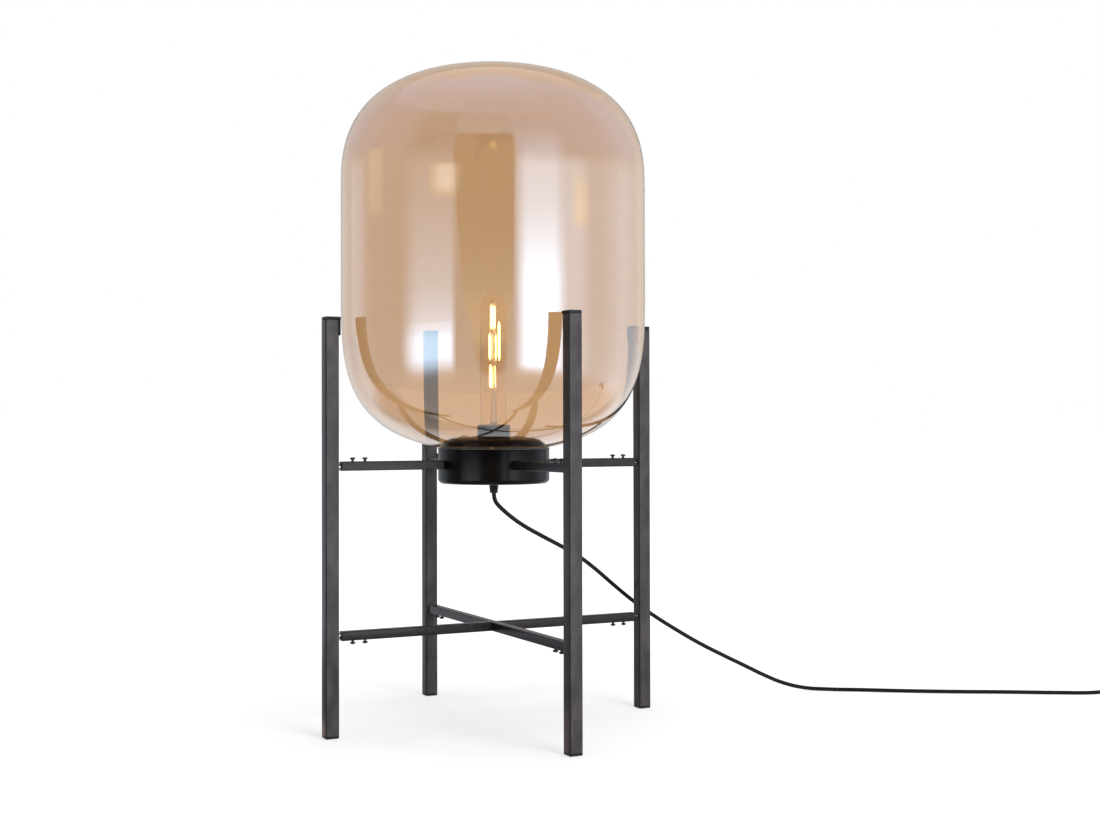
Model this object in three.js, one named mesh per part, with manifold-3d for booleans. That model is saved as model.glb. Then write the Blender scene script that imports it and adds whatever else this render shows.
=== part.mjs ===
// A floor lamp: a large lustre glass shade on a round steel canister, carried by four square legs.
// Lengths are in millimetres, +Z is up. The origin is on the floor, on the lamp's axis.
// +X points at the right leg, -X at the left one, -Y at the front one and +Y at the back one.
import * as THREE from "three";
import { mergeVertices } from "three/addons/utils/BufferGeometryUtils.js";
import Module from "manifold-3d";

const wasm = await Module();
wasm.setup();

// Clearances
const fitGap = 0.3; // between separate pieces that touch or nest
const cutOverrun = 4; // how far a cut runs past the face it leaves

// Glass shade
const shadeDiameter = 341;
const shadeHeight = 424.5; // from the opening to the top of the dome
const shadeWall = 3;
const domeHeight = 133; // where the straight body turns into the dome
const domePowerShare = 2.57; // power of the dome's superellipse
const footHeight = 176.8; // where the straight body turns into the foot
const footPowerShare = 3.39;

// Legs
const legTube = 15; // side of the square tube
const legWall = 1.5;
const legCorner = 1.4; // outer corner radius
const legHeight = 450; // floor to the top of the cap
const padClearance = 11.7; // between the glass and the pads on the legs
const capHeight = 3;
const capRound = 1.3;
const capPlugDepth = 9; // how far the cap reaches into the tube
const padHeight = 17; // pad below the cap, on the leg's inner face
const padThickness = 2;
const padInset = 1.1; // from the tube's side to the pad's side
const glideHeight = 2.2;
const glideRound = 1.6;
const glidePlugDepth = 11;

// Arms, cross bars and the rods that join them to the legs
const rodDiameter = 4;
const rodPlay = 2; // room around a rod inside its tube
const armWall = 2;
const armCorner = 0.8;
const armLevel = 290; // height of the arms' centre line
const barLevel = 108; // height of the cross bars' centre line
const legJointGap = 4; // bare rod between a tube's end and the leg
const rodTail = 18.5; // rod past the second screw

// Clamp screws
const screwDiameter = 3;
const screwHeadDiameter = 6;
const screwHeadHeight = 2.1;
const screwRimHeight = 0.7; // straight edge of the head
const screwRise = 2.3; // bare shank between the tube and the head
const screwInset = 13.5; // first screw from the tube's end
const screwPitch = 14; // between the two screws

// Canister: a cup, and a lid pressed into it
const canisterDiameter = 125;
const canisterDrop = 21.5; // the arms' centre line to the underside of the cup
const canisterHeight = 38; // underside to rim
const canisterWall = 1.5;
const canisterRound = 5.5; // outer radius of the bottom edge
const lidRise = 13.5; // rim to the top of the lid
const lidWall = 1.2;
const lidRound = 15; // outer radius of the lid's shoulder
const gasketThickness = 1.4;
const gasketLip = 0.6; // how far the gasket stands out from the cup

// Lampholder and bulb
const bulbCapDiameter = 26;
const bulbCapLength = 26;
const bulbLength = 184.5;
const bulbFlare = 2; // how far the glass stands out from the cap
const bulbWall = 0.8;
const capWall = 0.6; // sheet of the bulb's screw cap
const threadPitch = 3.6;
const threadDepth = 0.9;
const threadTurns = 4;
const contactRadius = 4.8;
const contactHeight = 1.3;
const insulatorHeight = 4.2;
const neckDepth = 8; // how far the glass reaches into its cap
const neckFlareHeight = 9; // above the cap, where the glass reaches its full width
const bulbTipHeight = 15; // height of the rounded tip
const stemHeight = 44; // glass stem above the cap
const stemRadius = 4;
const strandRadius = 0.5;
const strandCircle = 4.6; // radius of the circle that the filament strands stand on
const strandCount = 6;
const hubHeight = 1.2;
const hubTipGap = 11; // upper hub below the bulb's tip
const holderRise = 13.5; // lampholder above the lid
const holderHeight = 45.5;
const holderWall = 1.6;
const holderFloor = 3;
const screwClearance = 0.6; // around the bulb's cap
const insertWall = 3;
const insertFloor = 6;
const ringHeight = 4;
const ringWidth = 4.3;

// Cord grip
const gripCollarLength = 10.7;
const gripCollarRadius = 6;
const gripTipRadius = 4.5;
const gripStemLength = 12;
const gripStemWall = 2.2;
const gripNutHeight = 4.5;
const gripNutWidth = 3.4; // from the bore to the corners

// Cord, its coil, switch and plug
const cordDiameter = 4.8;
const cordSides = 8;
const cordSteps = 80;
const loopSides = 6;
const loopSteps = 24;
const loopGap = 0.55; // between neighbouring turns
const floorGap = 0.2; // under the coil
const coilDiameter = 54; // at the middle of the turns
const coilTurns = 2; // turns in each layer, before and after the half turn that climbs
const coilLead = 34; // from the switch to the coil
const coilTail = 20; // straight cord between the coil and the plug
const switchLength = 62;
const switchWidth = 26;
const switchHeight = 17;
const switchRound = 3;
const rockerRadius = 7;
const rockerWidth = 13;
const rockerGap = 0.4; // between the rocker and its pocket
const rockerSink = 1.6; // pivot below the top of the case
const rockerDip = 0.6; // middle of the rocker's top above the pivot
const rockerEdge = 20; // degrees, from the level up to the edge of the rocker's top
const rockerTilt = 8; // degrees either way from the middle
const plugLength = 36;
const plugWidth = 35;
const plugHeight = 13.6;
const plugRound = 2;
const plugNeckLength = 14;
const plugNeckRadius = 4.4;
const plugTailRadius = 3.2;
const pinDiameter = 4;
const pinLength = 19;
const pinPitch = 18.6;

// Places that follow from these sizes
const shadeRadius = shadeDiameter / 2;
const legCircle = shadeRadius + padClearance + padThickness + fitGap + legTube / 2;
const legInnerFace = legCircle - legTube / 2;
const armTube = rodDiameter + rodPlay + 2 * armWall;
const armEnd = legInnerFace - legJointGap;
const rodRadius = rodDiameter / 2;
const canisterRadius = canisterDiameter / 2;
const canisterFloor = armLevel - canisterDrop;
const canisterRim = canisterFloor + canisterHeight;
const lidRadius = canisterRadius - canisterWall - fitGap;
const lidTop = canisterRim + lidRise;
const openingRadius = lidRadius + fitGap;
const shadeFloor = canisterRim + fitGap + gasketThickness + fitGap;
const shadeTop = shadeFloor + shadeHeight;
const bulbCapRadius = bulbCapDiameter / 2;
const bulbRadius = bulbCapRadius + bulbFlare;
const insertRadius = bulbCapRadius + screwClearance + insertWall;
const holderRadius = insertRadius + fitGap + holderWall;
const holderTop = lidTop + holderRise;
const holderBase = holderTop - holderHeight;
const insertBase = holderBase + holderFloor + fitGap;
const bulbBase = insertBase + insertFloor + fitGap;
const bulbCapTop = bulbBase + bulbCapLength;
const bulbTip = bulbBase + bulbLength;
const cordRadius = cordDiameter / 2;
const cordBore = cordRadius + fitGap;
const gripTip = canisterFloor - fitGap - gripCollarLength;
const gripStemRadius = cordBore + gripStemWall;

// Finishes
function finish(color, roughness, metalness) {
  return new THREE.MeshStandardMaterial({ color, roughness, metalness });
}
const legSteel = finish(0x33322f, 0.45, 0.6);
const armSteel = finish(0x232222, 0.5, 0.5);
const canisterPaint = finish(0x111111, 0.45, 0.3);
const rodSteel = finish(0x8b8a88, 0.35, 0.9);
const screwSteel = finish(0x1a1a1a, 0.4, 0.7);
const blackRubber = finish(0x0c0c0c, 0.7, 0);
const clearRubber = finish(0x8f8a80, 0.6, 0);
const lustreGlass = finish(0xd8b48c, 0.05, 0.2);
lustreGlass.transparent = true;
lustreGlass.opacity = 0.45;
const bulbGlass = finish(0xf0e4d0, 0.05, 0);
bulbGlass.transparent = true;
bulbGlass.opacity = 0.4;
const filament = finish(0xffb060, 0.5, 0.2);
const holderPlastic = finish(0x3a3938, 0.5, 0);
const insertCeramic = finish(0xd9d5cc, 0.4, 0);
const capBrass = finish(0xb59a5b, 0.3, 0.9);
const cordPlastic = finish(0x0e0e0e, 0.5, 0);
const plugPlastic = finish(0x121212, 0.45, 0);

// Solids: closed meshes as volumes that can be joined and cut
function solid(geometry) {
  const bare = geometry.index ? geometry.toNonIndexed() : geometry.clone();
  bare.deleteAttribute("normal");
  bare.deleteAttribute("uv");
  const merged = mergeVertices(bare);
  const corners = [];
  for (let i = 0; i < merged.index.count; i += 3) {
    const [a, b, c] = [0, 1, 2].map((k) => merged.index.getX(i + k));
    if (a !== b && b !== c && c !== a) corners.push(a, b, c);
  }
  return new wasm.Manifold(
    new wasm.Mesh({
      numProp: 3,
      vertProperties: new Float32Array(merged.attributes.position.array),
      triVerts: new Uint32Array(corners),
    }),
  );
}

function surface(volume) {
  const mesh = volume.getMesh();
  const geometry = new THREE.BufferGeometry();
  geometry.setAttribute("position", new THREE.BufferAttribute(mesh.vertProperties, mesh.numProp));
  geometry.setIndex(new THREE.BufferAttribute(mesh.triVerts, 1));
  const flat = geometry.toNonIndexed();
  flat.computeVertexNormals();
  return flat;
}

const lamp = new THREE.Group();

function addPiece(name, volume, material, parent = lamp) {
  const mesh = new THREE.Mesh(surface(volume), material);
  mesh.name = name;
  parent.add(mesh);
  return mesh;
}

// A solid of revolution about Z. The outline holds [radius, height] pairs; it starts and ends on
// the axis, or is closed from its last point to its first.
function turned(outline, segments) {
  const ring = outline.map(([r, z]) => new THREE.Vector2(r, z));
  const onAxis = outline[0][0] === 0;
  const area = ring.reduce((sum, a, i) => {
    const b = ring[(i + 1) % ring.length];
    return sum + a.cross(b);
  }, 0);
  if (area < 0) ring.reverse();
  if (!onAxis) ring.push(ring[0].clone());
  const geometry = new THREE.LatheGeometry(ring, segments);
  geometry.rotateX(Math.PI / 2);
  return solid(geometry);
}

// Points of a quarter circle about [r, z], between two directions given in quarter turns
function arc([r, z], radius, fromQuarter, toQuarter, steps) {
  return Array.from({ length: steps + 1 }, (_, i) => {
    const angle = (fromQuarter + ((toQuarter - fromQuarter) * i) / steps) * (Math.PI / 2);
    return [r + radius * Math.cos(angle), z + radius * Math.sin(angle)];
  });
}

function cylinder(radius, from, to, sides) {
  const geometry = new THREE.CylinderGeometry(radius, radius, to - from, sides);
  geometry.rotateX(Math.PI / 2);
  geometry.translate(0, 0, (from + to) / 2);
  return solid(geometry);
}

function box([x0, y0, z0], [x1, y1, z1]) {
  const geometry = new THREE.BoxGeometry(x1 - x0, y1 - y0, z1 - z0);
  geometry.translate((x0 + x1) / 2, (y0 + y1) / 2, (z0 + z1) / 2);
  return solid(geometry);
}

// The outline of a rectangle with round corners, centred on the origin
function roundedRectangle(width, depth, radius, Kind = THREE.Shape) {
  const [x, y] = [width / 2, depth / 2];
  const quarter = Math.PI / 2;
  const outline = new Kind();
  outline.absarc(x - radius, y - radius, radius, 0, quarter);
  outline.absarc(radius - x, y - radius, radius, quarter, 2 * quarter);
  outline.absarc(radius - x, radius - y, radius, 2 * quarter, 3 * quarter);
  outline.absarc(x - radius, radius - y, radius, 3 * quarter, 4 * quarter);
  outline.closePath();
  return outline;
}

const cornerSegments = 2;
const edgeSegments = 2;
const innerCornerShare = 1 / 3; // inner corner radius of a tube, as a share of its outer one

// A square tube standing on Z, or a bar where no wall is given
function squareTube(side, corner, from, to, wall) {
  const outline = roundedRectangle(side, side, corner);
  if (wall) {
    const hollow = side - 2 * wall;
    outline.holes.push(roundedRectangle(hollow, hollow, innerCornerShare * corner, THREE.Path));
  }
  const geometry = new THREE.ExtrudeGeometry(outline, {
    depth: to - from,
    bevelEnabled: false,
    curveSegments: cornerSegments,
  });
  geometry.translate(0, 0, from);
  return solid(geometry);
}

// A block with round vertical corners and round edges at its top, from z = 0 to its height
function softBlock(width, depth, height, corner, round) {
  const geometry = new THREE.ExtrudeGeometry(roundedRectangle(width - 2 * round, depth - 2 * round, corner), {
    depth: height,
    bevelThickness: round,
    bevelSize: round,
    bevelSegments: edgeSegments,
    curveSegments: cornerSegments,
  });
  geometry.translate(0, 0, -round);
  return solid(geometry).intersect(box([-width, -depth, 0], [width, depth, height]));
}

// Glass shade: a straight body between two superellipses. The foot's curve aims at the far side of
// the opening, so it is nearly flat where it ends at the near side.
const domeSteps = 9;
const footSteps = 9;
function shadeOutline(inset) {
  const radius = shadeRadius - inset;
  const spring = shadeTop - domeHeight;
  const waist = shadeFloor + footHeight;
  const reach = radius + openingRadius;
  const end = Math.acos(((2 * openingRadius) / reach) ** (footPowerShare / 2));
  const drop = (footHeight - inset) / Math.sin(end) ** (2 / footPowerShare);
  const foot = Array.from({ length: footSteps + 1 }, (_, i) => {
    const angle = end * (1 - i / footSteps);
    return [
      reach * Math.cos(angle) ** (2 / footPowerShare) - openingRadius,
      waist - drop * Math.sin(angle) ** (2 / footPowerShare),
    ];
  });
  foot[0][0] = openingRadius;
  const dome = Array.from({ length: domeSteps + 1 }, (_, i) => {
    const angle = (Math.PI / 2) * (i / domeSteps);
    return [
      radius * Math.cos(angle) ** (2 / domePowerShare),
      spring + (domeHeight - inset) * Math.sin(angle) ** (2 / domePowerShare),
    ];
  });
  dome[domeSteps][0] = 0;
  return [...foot, ...dome];
}
const shadeSegments = 40;
addPiece(
  "glass_shade",
  turned([...shadeOutline(0), ...shadeOutline(shadeWall).reverse()].reverse(), shadeSegments),
  lustreGlass,
);

// Canister cup, open at the top, with a hole for the cord grip
const canisterSegments = 36;
const arcSteps = 3;
addPiece(
  "canister_cup",
  turned(
    [
      [gripStemRadius + fitGap, canisterFloor],
      ...arc([canisterRadius - canisterRound, canisterFloor + canisterRound], canisterRound, -1, 0, arcSteps),
      [canisterRadius, canisterRim],
      [canisterRadius - canisterWall, canisterRim],
      ...arc(
        [canisterRadius - canisterRound, canisterFloor + canisterRound],
        canisterRound - canisterWall,
        0,
        -1,
        arcSteps,
      ),
      [gripStemRadius + fitGap, canisterFloor + canisterWall],
    ],
    canisterSegments,
  ),
  canisterPaint,
);

// Lid with a round shoulder. Its skirt reaches down to the round edge inside the cup.
const lidSkirtFoot = canisterFloor + canisterRound;
const shoulderSteps = 4;
addPiece(
  "canister_lid",
  turned(
    [
      [lidRadius, lidSkirtFoot],
      ...arc([lidRadius - lidRound, lidTop - lidRound], lidRound, 0, 1, shoulderSteps),
      [holderRadius + fitGap, lidTop],
      [holderRadius + fitGap, lidTop - lidWall],
      ...arc([lidRadius - lidRound, lidTop - lidRound], lidRound - lidWall, 1, 0, shoulderSteps),
      [lidRadius - lidWall, lidSkirtFoot],
    ],
    canisterSegments,
  ),
  canisterPaint,
);

const gasketFloor = canisterRim + fitGap;
addPiece(
  "shade_gasket",
  turned(
    [
      [openingRadius, gasketFloor],
      [canisterRadius + gasketLip, gasketFloor],
      [canisterRadius + gasketLip, gasketFloor + gasketThickness],
      [openingRadius, gasketFloor + gasketThickness],
    ],
    canisterSegments,
  ),
  clearRubber,
);

// Lampholder: a shell through the lid, a ring that holds it from below, and a ceramic insert
const holderSegments = 24;
const holderChamfer = holderWall / 2;
addPiece(
  "lampholder_shell",
  turned(
    [
      [cordBore, holderBase],
      [holderRadius, holderBase],
      [holderRadius, holderTop - holderChamfer],
      [holderRadius - holderChamfer, holderTop],
      [holderRadius - holderWall, holderTop],
      [holderRadius - holderWall, holderBase + holderFloor],
      [cordBore, holderBase + holderFloor],
    ],
    holderSegments,
  ),
  holderPlastic,
);
const ringTop = lidTop - lidWall - fitGap;
addPiece(
  "lampholder_ring",
  turned(
    [
      [holderRadius + fitGap, ringTop - ringHeight],
      [holderRadius + fitGap + ringWidth, ringTop - ringHeight],
      [holderRadius + fitGap + ringWidth, ringTop],
      [holderRadius + fitGap, ringTop],
    ],
    holderSegments,
  ),
  holderPlastic,
);
addPiece(
  "lampholder_insert",
  turned(
    [
      [0, insertBase],
      [insertRadius, insertBase],
      [insertRadius, bulbCapTop - fitGap],
      [insertRadius - insertWall, bulbCapTop - fitGap],
      [insertRadius - insertWall, insertBase + insertFloor],
      [0, insertBase + insertFloor],
    ],
    holderSegments,
  ),
  insertCeramic,
);

// Bulb: a screw cap, a long tube of glass that is open into the cap, and the filament on its stem
const bulbSegments = 16;
const bulb = new THREE.Group();
lamp.add(bulb);
const capInner = bulbCapRadius - threadDepth - capWall;
const capFloor = bulbBase + contactHeight + insulatorHeight;
const threadFloor = capFloor + threadPitch / 2;
const thread = Array.from({ length: 2 * threadTurns + 1 }, (_, i) => [
  bulbCapRadius - (i % 2 ? 0 : threadDepth),
  threadFloor + (i * threadPitch) / 2,
]);
addPiece(
  "bulb_cap",
  turned(
    [
      [0, bulbBase],
      [contactRadius, bulbBase],
      [contactRadius, bulbBase + contactHeight],
      [bulbCapRadius - threadDepth, capFloor],
      ...thread,
      [bulbCapRadius, bulbCapTop - capWall],
      [bulbCapRadius, bulbCapTop],
      [capInner, bulbCapTop],
      [capInner, capFloor + capWall],
      [0, capFloor + capWall],
    ],
    bulbSegments,
  ),
  capBrass,
  bulb,
);
const neckRadius = capInner - fitGap;
const tipSteps = 4;
function bulbOutline(inset) {
  const radius = bulbRadius - inset;
  const tip = arc([0, 0], 1, 0, 1, tipSteps).map(([r, z]) => [
    radius * r,
    bulbTip - bulbTipHeight + (bulbTipHeight - inset) * z,
  ]);
  tip[tipSteps][0] = 0;
  return [
    [neckRadius - inset, bulbCapTop - neckDepth],
    [neckRadius - inset, bulbCapTop + fitGap],
    [radius, bulbCapTop + neckFlareHeight],
    ...tip,
  ];
}
addPiece(
  "bulb_glass",
  turned([...bulbOutline(0), ...bulbOutline(bulbWall).reverse()].reverse(), bulbSegments),
  bulbGlass,
  bulb,
);
const hubRadius = strandCircle + 2 * strandRadius;
const hubLow = bulbCapTop + stemHeight;
const hubHigh = bulbTip - hubTipGap;
const stemFoot = bulbCapTop - neckDepth;
const stem = turned(
  [
    [0, stemFoot],
    [neckRadius - bulbWall - fitGap, stemFoot],
    [neckRadius - bulbWall - fitGap, stemFoot + hubHeight],
    [stemRadius, bulbCapTop + neckFlareHeight],
    [stemRadius / 2, hubLow],
    [0, hubLow],
  ],
  bulbSegments / 2,
);
let filamentSolid = stem
  .add(cylinder(hubRadius, hubLow - hubHeight, hubLow + hubHeight, bulbSegments / 2))
  .add(cylinder(hubRadius, hubHigh, hubHigh + hubHeight, bulbSegments / 2))
  .add(cylinder(strandRadius, hubLow, hubHigh + hubHeight / 2, loopSides));
for (let i = 0; i < strandCount; i++) {
  const angle = (i / strandCount) * 2 * Math.PI;
  const strand = cylinder(strandRadius, hubLow, hubHigh + hubHeight / 2, loopSides);
  filamentSolid = filamentSolid.add(
    strand.translate([strandCircle * Math.cos(angle), strandCircle * Math.sin(angle), 0]),
  );
}
addPiece("bulb_filament", filamentSolid, filament, bulb);

// Cord grip: a threaded stem through the cup, a tapered collar below it and a nut above
const gripSegments = 20;
const gripCollarTop = canisterFloor - fitGap;
addPiece(
  "cord_grip",
  turned(
    [
      [cordBore, gripTip],
      [gripTipRadius, gripTip],
      [gripCollarRadius, gripCollarTop],
      [gripStemRadius, gripCollarTop],
      [gripStemRadius, gripCollarTop + gripStemLength],
      [cordBore, gripCollarTop + gripStemLength],
    ],
    gripSegments,
  ),
  blackRubber,
);
const nutFloor = canisterFloor + canisterWall + fitGap;
const nutBore = gripStemRadius + fitGap;
const nutSides = 6;
addPiece(
  "grip_nut",
  cylinder(nutBore + gripNutWidth, nutFloor, nutFloor + gripNutHeight, nutSides).subtract(
    cylinder(nutBore, nutFloor - cutOverrun, nutFloor + gripNutHeight + cutOverrun, gripSegments),
  ),
  rodSteel,
);
addPiece("inner_lead", cylinder(cordRadius, gripTip, insertBase - fitGap, gripSegments / 2), cordPlastic);

// One side of the frame, drawn along +X and turned to its place
const rodSides = 12;
const screwSides = 10;
const headSteps = 2;

function alongX(volume) {
  return volume.rotate([0, 90, 0]);
}

// A screw whose shank runs up from its tip, through a tube's wall, to a low round head
function clampScrew(tip, seat) {
  const [shank, head] = [screwDiameter / 2, screwHeadDiameter / 2];
  const crown = arc([0, 0], 1, 0, 1, headSteps).map(([r, z]) => [
    head * r,
    seat + screwRimHeight + (screwHeadHeight - screwRimHeight) * z,
  ]);
  crown[headSteps][0] = 0;
  return turned([[0, tip], [shank, tip], [shank, seat], [head, seat], ...crown], screwSides);
}

function screwPlaces() {
  return [armEnd - screwInset, armEnd - screwInset - screwPitch];
}

// Screw holes through one wall of a tube that runs along X
function screwHoles(volume, from, to) {
  const hole = cylinder(screwDiameter / 2 + fitGap, from, to, screwSides);
  return screwPlaces().reduce((left, x) => left.subtract(hole.translate([x, 0, 0])), volume);
}

const armTop = armLevel + armTube / 2;
const barFloor = barLevel - armTube / 2;
const rodFit = armTube / 2 - armWall - fitGap - rodRadius;
const upperRodLevel = armLevel - rodFit;
const lowerRodLevel = barLevel + rodFit;
const rodInner = armEnd - screwInset - screwPitch - rodTail;
const rodOuter = legCircle + legTube / 2 - legWall - fitGap;

const sides = ["right", "back", "left", "front"];
sides.forEach((side, quarter) => {
  const frame = new THREE.Group();
  frame.rotation.z = (quarter * Math.PI) / 2;
  lamp.add(frame);

  const armLength = armEnd - canisterRadius - fitGap;
  const arm = alongX(squareTube(armTube, armCorner, 0, armLength, armWall)).translate([
    canisterRadius + fitGap,
    0,
    armLevel,
  ]);
  addPiece("arm_" + side, screwHoles(arm, armLevel, armTop + cutOverrun), armSteel, frame);

  const tubeFloor = glideHeight + fitGap;
  const tubeTop = legHeight - capHeight - fitGap;
  let leg = squareTube(legTube, legCorner, tubeFloor, tubeTop, legWall).translate([legCircle, 0, 0]);
  for (const level of [upperRodLevel, lowerRodLevel]) {
    const bore = alongX(cylinder(rodRadius + fitGap, 0, legTube / 2 + cutOverrun, rodSides));
    leg = leg.subtract(bore.translate([legInnerFace - cutOverrun, 0, level]));
  }
  addPiece("leg_" + side, leg, legSteel, frame);

  const plugSide = legTube - 2 * legWall - 2 * fitGap;
  const capDepth = legTube + fitGap + padThickness;
  const capBlock = softBlock(capDepth, legTube, capHeight, legCorner / 2, capRound);
  const capBase = legHeight - capHeight;
  const padSide = legTube / 2 - padInset;
  const padFace = legInnerFace - fitGap;
  const capMiddle = capBase + capHeight / 2;
  const capPlug = squareTube(plugSide, legCorner / 2, capBase - capPlugDepth, capMiddle);
  const cap = capBlock
    .translate([legCircle + legTube / 2 - capDepth / 2, 0, capBase])
    .add(capPlug.translate([legCircle, 0, 0]))
    .add(box([padFace - padThickness, -padSide, capBase - padHeight], [padFace, padSide, capMiddle]));
  addPiece("leg_cap_" + side, cap, blackRubber, frame);

  const glide = softBlock(legTube, legTube, glideHeight, legCorner / 2, glideRound)
    .rotate([180, 0, 0])
    .translate([0, 0, glideHeight])
    .add(squareTube(plugSide, legCorner / 2, glideHeight / 2, glideHeight + glidePlugDepth))
    .translate([legCircle, 0, 0]);
  addPiece("foot_glide_" + side, glide, blackRubber, frame);

  const rod = alongX(cylinder(rodRadius, rodInner, rodOuter, rodSides));
  addPiece("upper_rod_" + side, rod.translate([0, 0, upperRodLevel]), rodSteel, frame);
  addPiece("lower_rod_" + side, rod.translate([0, 0, lowerRodLevel]), rodSteel, frame);

  const upperScrew = clampScrew(upperRodLevel + rodRadius + fitGap, armTop + screwRise);
  const lowerScrew = clampScrew(rodRadius + fitGap - lowerRodLevel, screwRise - barFloor).mirror([0, 0, 1]);
  screwPlaces().forEach((x, i) => {
    const place = ["outer", "inner"][i];
    addPiece("upper_screw_" + side + "_" + place, upperScrew.translate([x, 0, 0]), screwSteel, frame);
    addPiece("lower_screw_" + side + "_" + place, lowerScrew.translate([x, 0, 0]), screwSteel, frame);
  });
});

// Cross bars: two tubes halved into each other where they cross, with screw holes underneath
function crossBar(cutFloor, cutTop) {
  let bar = alongX(squareTube(armTube, armCorner, -armEnd, armEnd, armWall)).translate([0, 0, barLevel]);
  for (let end = 0; end < 2; end++) {
    bar = screwHoles(bar, barFloor - cutOverrun, barLevel).rotate([0, 0, 180]);
  }
  const lap = armTube / 2 + fitGap;
  return bar.subtract(box([-lap, -armTube, cutFloor], [lap, armTube, cutTop]));
}
const barTop = barLevel + armTube / 2;
const lapGap = fitGap / 2;
addPiece("cross_bar_left_right", crossBar(barLevel - lapGap, barTop + cutOverrun), armSteel);
addPiece(
  "cross_bar_front_back",
  crossBar(barFloor - cutOverrun, barLevel + lapGap).rotate([0, 0, 90]),
  armSteel,
);

// Cord from the grip: down behind the right leg, onto the floor and up into the switch
const cordRoute = [
  [0, 0, gripTip - fitGap],
  [0.7, 0.1, 252],
  [2.7, 0.4, 247.2],
  [6.2, 0.8, 243.2],
  [14, 1.8, 236.5],
  [25, 3.8, 228.5],
  [41, 6.3, 218.6],
  [64, 9.5, 206.8],
  [90, 14, 194.3],
  [117, 19, 180.5],
  [142, 23.5, 164],
  [170, 27.5, 142.7],
  [200, 30.5, 120.7],
  [231, 32.5, 100.6],
  [262, 33.5, 82.2],
  [294, 32.5, 64.2],
  [325, 29.5, 48.4],
  [354, 25, 34],
  [380, 19.5, 20.8],
  [404, 12.5, 10.4],
  [428, 2.5, 4.2],
  [452, -11.5, 2.6],
  [486, -35, 2.6],
  [530, -66, 2.6],
  [582, -99, 2.6],
  [638, -131, 2.6],
  [692, -164, 2.6],
  [727, -186, 3.4],
  [746, -197.15, 5.9],
  [757, -203, 6.7],
].map((point) => new THREE.Vector3(...point));

function polygon(radius, count) {
  return new THREE.Shape(
    Array.from({ length: count }, (_, i) => {
      const angle = ((i + 1 / 2) / count) * 2 * Math.PI;
      return new THREE.Vector2(radius * Math.cos(angle), radius * Math.sin(angle));
    }),
  );
}

function sweep(points, radius, count, steps) {
  const path = new THREE.CatmullRomCurve3(points, false, "centripetal");
  path.arcLengthDivisions = 10 * points.length;
  return solid(new THREE.ExtrudeGeometry(polygon(radius, count), { extrudePath: path, steps }));
}
addPiece("cord_lead", sweep(cordRoute, cordRadius, cordSides, cordSteps), cordPlastic);

// The cord's heading where it enters the switch, and the switch that lies along it
const [beforeSwitch, switchEnd] = cordRoute.slice(-2);
const heading = switchEnd.clone().sub(beforeSwitch).setZ(0).normalize();
const turn = Math.atan2(heading.y, heading.x);
const onward = (point, distance) => point.clone().addScaledVector(heading, distance);
const switchStart = onward(switchEnd, fitGap);
const inline = new THREE.Group();
inline.position.set(switchStart.x, switchStart.y, floorGap);
inline.rotation.z = turn;
lamp.add(inline);

function softSlab(outline, height, round) {
  const geometry = new THREE.ExtrudeGeometry(outline, {
    depth: height - 2 * round,
    bevelThickness: round,
    bevelSize: round,
    bevelOffset: -round,
    bevelSegments: edgeSegments,
    curveSegments: cornerSegments,
  });
  geometry.translate(0, 0, round);
  return solid(geometry);
}

function alongY(volume) {
  return volume.rotate([90, 0, 0]);
}
const pivotLevel = switchHeight - rockerSink;
const pocketReach = rockerWidth / 2 + rockerGap;
const pocketSides = 40;
const pocket = alongY(cylinder(rockerRadius + rockerGap, -pocketReach, pocketReach, pocketSides));
addPiece(
  "switch_case",
  softSlab(roundedRectangle(switchLength, switchWidth, 2 * switchRound), switchHeight, switchRound)
    .subtract(pocket.translate([0, 0, pivotLevel]))
    .translate([switchLength / 2, 0, 0]),
  plugPlastic,
  inline,
);
const rockerSegments = 16;
const edgeAngle = rockerEdge * THREE.MathUtils.DEG2RAD;
const rockerOutline = new THREE.Shape();
rockerOutline.absarc(0, 0, rockerRadius, Math.PI - edgeAngle, edgeAngle);
rockerOutline.lineTo(0, rockerDip);
rockerOutline.closePath();
const rockerSolid = solid(
  new THREE.ExtrudeGeometry(rockerOutline, {
    depth: rockerWidth,
    bevelEnabled: false,
    curveSegments: rockerSegments,
  }),
);
addPiece(
  "switch_rocker",
  alongY(rockerSolid)
    .translate([0, rockerWidth / 2, 0])
    .rotate([0, -rockerTilt, 0])
    .translate([switchLength / 2, 0, pivotLevel]),
  holderPlastic,
  inline,
);

// The rest of the cord: out of the switch, wound into a coil in two layers, and on to the plug
const loopPitch = cordDiameter + loopGap;
const lowLayer = cordRadius + floorGap;
const highLayer = lowLayer + loopPitch;
const coilOuter = coilDiameter / 2 + (loopPitch * coilTurns) / 2;
const wholeTurns = 2 * coilTurns + 1 / 2;
const leadShares = [0, 0.2, 0.45, 0.7];
const leadRiseShares = [1, 1, 0.6, 0.15];
const leadStart = onward(switchStart, switchLength + fitGap);
const coilStart = onward(leadStart, coilLead);
const rightward = new THREE.Vector3(heading.y, -heading.x, 0);
const coilCentre = coilStart.clone().addScaledVector(rightward, coilOuter);

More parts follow.
